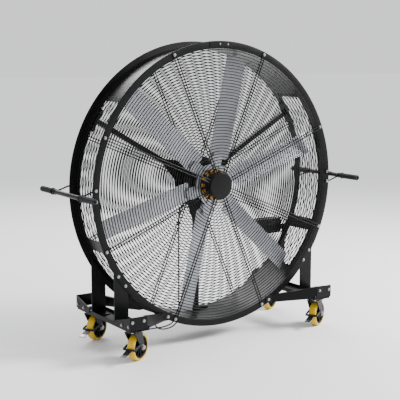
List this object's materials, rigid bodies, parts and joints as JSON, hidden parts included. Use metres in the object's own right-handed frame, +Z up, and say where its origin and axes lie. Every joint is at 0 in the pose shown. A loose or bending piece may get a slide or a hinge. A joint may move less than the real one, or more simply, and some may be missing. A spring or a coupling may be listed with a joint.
{
  "type": "mobile drum fan",
  "caption": "Large mobile drum fan: guarded aluminium impeller in a black drum with meshed sides, on side rails with swivel castors, brake pedals, push handles and a mains cord.",
  "frame": {"origin": "on the floor, under the middle of the drum", "axes": "+X to the right as seen from the air outlet, -Y the way the air leaves, +Z up"},
  "size_m": [1.794, 0.6888, 1.686],
  "materials": {
    "frame_paint": "satin black powder coat",
    "drum_sheet": "satin black painted sheet, pressed expanded-metal side windows",
    "guard_wire": "black powder-coated wire",
    "impeller_alloy": "satin extruded aluminium",
    "motor_casing": "dark grey painted casing",
    "box_plastic": "fine-grained black plastic",
    "knob_plastic": "smooth black plastic",
    "fork_paint": "dark grey paint on pressed steel",
    "zinc_plate": "zinc plated steel",
    "pedal_zinc": "zinc plated steel, scuffed at the toe",
    "tyre_yellow": "yellow polyurethane tread",
    "wheel_core": "black moulded core",
    "grip_rubber": "ribbed dark rubber",
    "cable_sleeve": "black rubber-sheathed cable",
    "plug_plastic": "black moulded rubber"
  },
  "bodies": {
    "frame": {"front_rim": "frame_paint", "rear_rim": "frame_paint", "motor_spider": "frame_paint", "cord_hook": "frame_paint", "shell_top": "drum_sheet", "shell_bottom": "drum_sheet", "side_mesh_left": "drum_sheet", "side_mesh_right": "drum_sheet", "front_grille": "guard_wire", "rear_grille": "guard_wire", "motor": "motor_casing", "control_box": "box_plastic", "side_rail_left": "frame_paint", "handle_left": "frame_paint", "upright_front_left": "frame_paint", "cross_arm_front_left": "frame_paint", "grip_front_left": "grip_rubber", "upright_rear_left": "frame_paint", "cross_arm_rear_left": "frame_paint", "grip_rear_left": "grip_rubber", "side_rail_right": "frame_paint", "handle_right": "frame_paint", "upright_front_right": "frame_paint", "cross_arm_front_right": "frame_paint", "grip_front_right": "grip_rubber", "upright_rear_right": "frame_paint", "cross_arm_rear_right": "frame_paint", "grip_rear_right": "grip_rubber", "castor_plate_front_left": "zinc_plate", "castor_plate_rear_left": "zinc_plate", "castor_plate_front_right": "zinc_plate", "castor_plate_rear_right": "zinc_plate", "cord_gland": "cable_sleeve", "cord": "cable_sleeve", "cord_coil": "cable_sleeve", "cord_plug": "plug_plastic"},
    "impeller": {"impeller_hub": "impeller_alloy", "blade_1": "impeller_alloy", "blade_2": "impeller_alloy", "blade_3": "impeller_alloy", "blade_4": "impeller_alloy", "blade_5": "impeller_alloy", "blade_6": "impeller_alloy"},
    "speed_dial": {"speed_knob": "knob_plastic"},
    "swivel_front_left": {"castor_fork_front_left": "fork_paint"},
    "wheel_front_left": {"castor_tyre_front_left": "tyre_yellow", "castor_core_front_left": "wheel_core"},
    "brake_front_left": {"brake_pedal_front_left": "pedal_zinc"},
    "swivel_rear_left": {"castor_fork_rear_left": "fork_paint"},
    "wheel_rear_left": {"castor_tyre_rear_left": "tyre_yellow", "castor_core_rear_left": "wheel_core"},
    "brake_rear_left": {"brake_pedal_rear_left": "pedal_zinc"},
    "swivel_front_right": {"castor_fork_front_right": "fork_paint"},
    "wheel_front_right": {"castor_tyre_front_right": "tyre_yellow", "castor_core_front_right": "wheel_core"},
    "brake_front_right": {"brake_pedal_front_right": "pedal_zinc"},
    "swivel_rear_right": {"castor_fork_rear_right": "fork_paint"},
    "wheel_rear_right": {"castor_tyre_rear_right": "tyre_yellow", "castor_core_rear_right": "wheel_core"},
    "brake_rear_right": {"brake_pedal_rear_right": "pedal_zinc"}
  },
  "joints": [
    {"name": "impeller_spin", "type": "hinge", "parent": "frame", "child": "impeller", "pos_m": [0, 0, 0.886], "axis": [0, 1, 0], "continuous": true},
    {"name": "speed_turn", "type": "hinge", "parent": "frame", "child": "speed_dial", "pos_m": [0.516, 0.217, 0.557], "axis": [0, 1, 0], "range_deg": [0, 270]},
    {"name": "swivel_front_left_turn", "type": "hinge", "parent": "frame", "child": "swivel_front_left", "pos_m": [-0.622, -0.232, 0.16], "axis": [0, 0, 1], "continuous": true},
    {"name": "wheel_front_left_roll", "type": "hinge", "parent": "swivel_front_left", "child": "wheel_front_left", "pos_m": [-0.58636, -0.21384, 0.075], "axis": [-0.454, 0.891, 0], "continuous": true},
    {"name": "brake_front_left_press", "type": "hinge", "parent": "swivel_front_left", "child": "brake_front_left", "pos_m": [-0.60418, -0.22292, 0.092], "axis": [0.454, -0.891, 0], "range_deg": [0, 10]},
    {"name": "swivel_rear_left_turn", "type": "hinge", "parent": "frame", "child": "swivel_rear_left", "pos_m": [-0.622, 0.232, 0.16], "axis": [0, 0, 1], "continuous": true},
    {"name": "wheel_rear_left_roll", "type": "hinge", "parent": "swivel_rear_left", "child": "wheel_rear_left", "pos_m": [-0.58636, 0.25016, 0.075], "axis": [-0.454, 0.891, 0], "continuous": true},
    {"name": "brake_rear_left_press", "type": "hinge", "parent": "swivel_rear_left", "child": "brake_rear_left", "pos_m": [-0.60418, 0.24108, 0.092], "axis": [0.454, -0.891, 0], "range_deg": [0, 10]},
    {"name": "swivel_front_right_turn", "type": "hinge", "parent": "frame", "child": "swivel_front_right", "pos_m": [0.622, -0.232, 0.16], "axis": [0, 0, 1], "continuous": true},
    {"name": "wheel_front_right_roll", "type": "hinge", "parent": "swivel_front_right", "child": "wheel_front_right", "pos_m": [0.65764, -0.21384, 0.075], "axis": [-0.454, 0.891, 0], "continuous": true},
    {"name": "brake_front_right_press", "type": "hinge", "parent": "swivel_front_right", "child": "brake_front_right", "pos_m": [0.63982, -0.22292, 0.092], "axis": [0.454, -0.891, 0], "range_deg": [0, 10]},
    {"name": "swivel_rear_right_turn", "type": "hinge", "parent": "frame", "child": "swivel_rear_right", "pos_m": [0.622, 0.232, 0.16], "axis": [0, 0, 1], "continuous": true},
    {"name": "wheel_rear_right_roll", "type": "hinge", "parent": "swivel_rear_right", "child": "wheel_rear_right", "pos_m": [0.65764, 0.25016, 0.075], "axis": [-0.454, 0.891, 0], "continuous": true},
    {"name": "brake_rear_right_press", "type": "hinge", "parent": "swivel_rear_right", "child": "brake_rear_right", "pos_m": [0.63982, 0.24108, 0.092], "axis": [0.454, -0.891, 0], "range_deg": [0, 10]}
  ]
}
